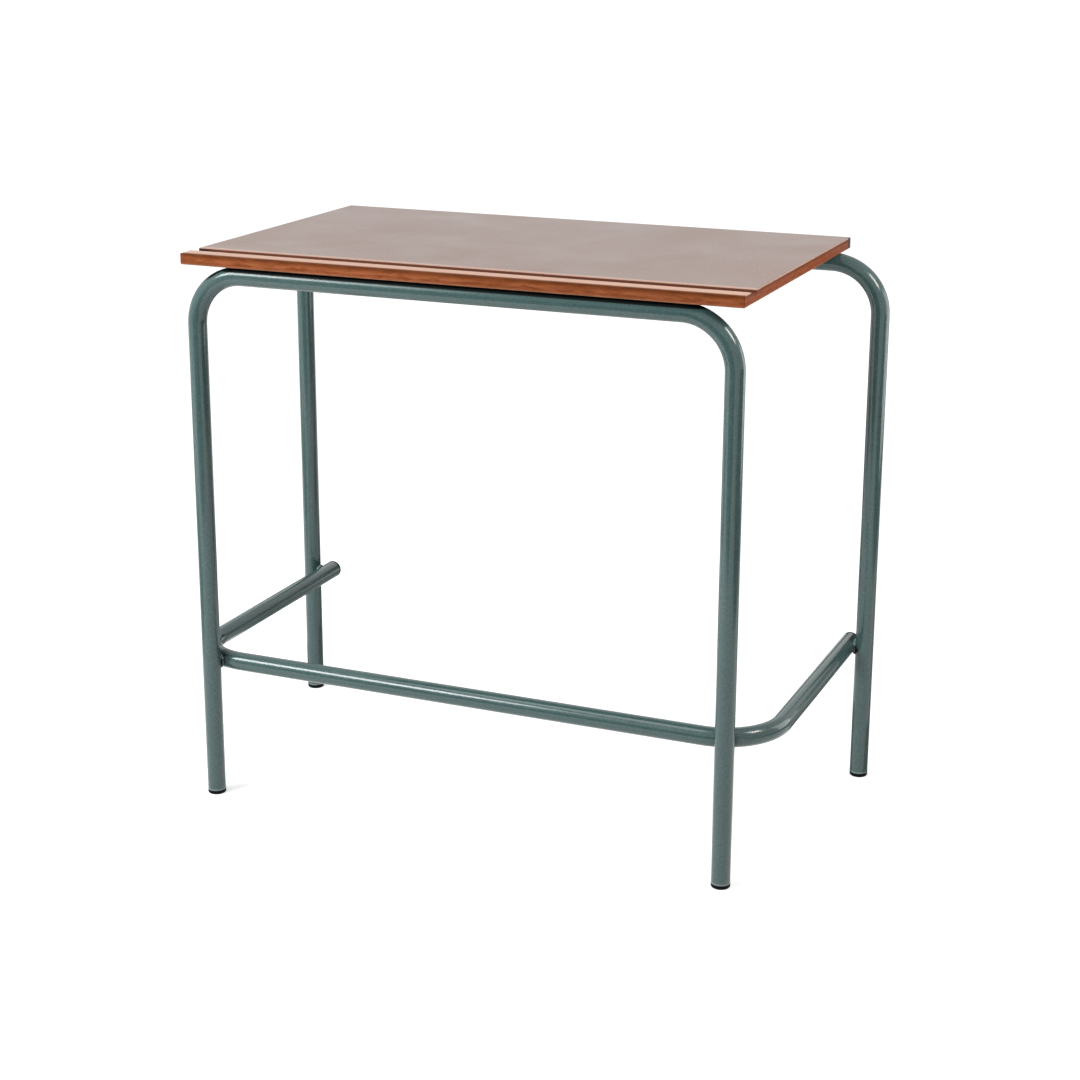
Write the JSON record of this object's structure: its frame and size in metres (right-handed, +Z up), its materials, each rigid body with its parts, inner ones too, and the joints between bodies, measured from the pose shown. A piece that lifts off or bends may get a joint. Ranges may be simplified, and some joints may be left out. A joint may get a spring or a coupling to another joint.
{
  "type": "school desk",
  "caption": "Pupil's desk with a grooved board worktop on bent tube frames tied by a bent foot rail.",
  "frame": {"origin": "on the floor, under the middle of the worktop", "axes": "+Z up, +X along the worktop's long side, +Y towards the pupil and away from the pencil groove"},
  "size_m": [0.903, 0.475, 0.76],
  "materials": {
    "board": "lacquered fibre board, satin",
    "paint": "grey-green hammertone, gloss",
    "cap": "black, satin",
    "screw": "zinc plated",
    "weld": "painted weld bead"
  },
  "bodies": {
    "root": {"top_board": "board", "front_frame": "paint", "rear_frame": "paint", "foot_rail": "paint", "left_cross_bar": "paint", "right_cross_bar": "paint", "front_fixing_tabs": "paint", "rear_fixing_tabs": "paint", "front_board_screws": "screw", "rear_board_screws": "screw", "front_left_foot_cap": "cap", "front_right_foot_cap": "cap", "rear_left_foot_cap": "cap", "rear_right_foot_cap": "cap", "left_rail_plug": "cap", "right_rail_plug": "cap", "front_left_rail_weld": "weld", "front_right_rail_weld": "weld", "rear_left_rail_weld": "weld", "rear_right_rail_weld": "weld", "left_cross_bar_welds": "weld", "right_cross_bar_welds": "weld", "front_tab_welds": "weld", "rear_tab_welds": "weld"}
  },
  "joints": []
}
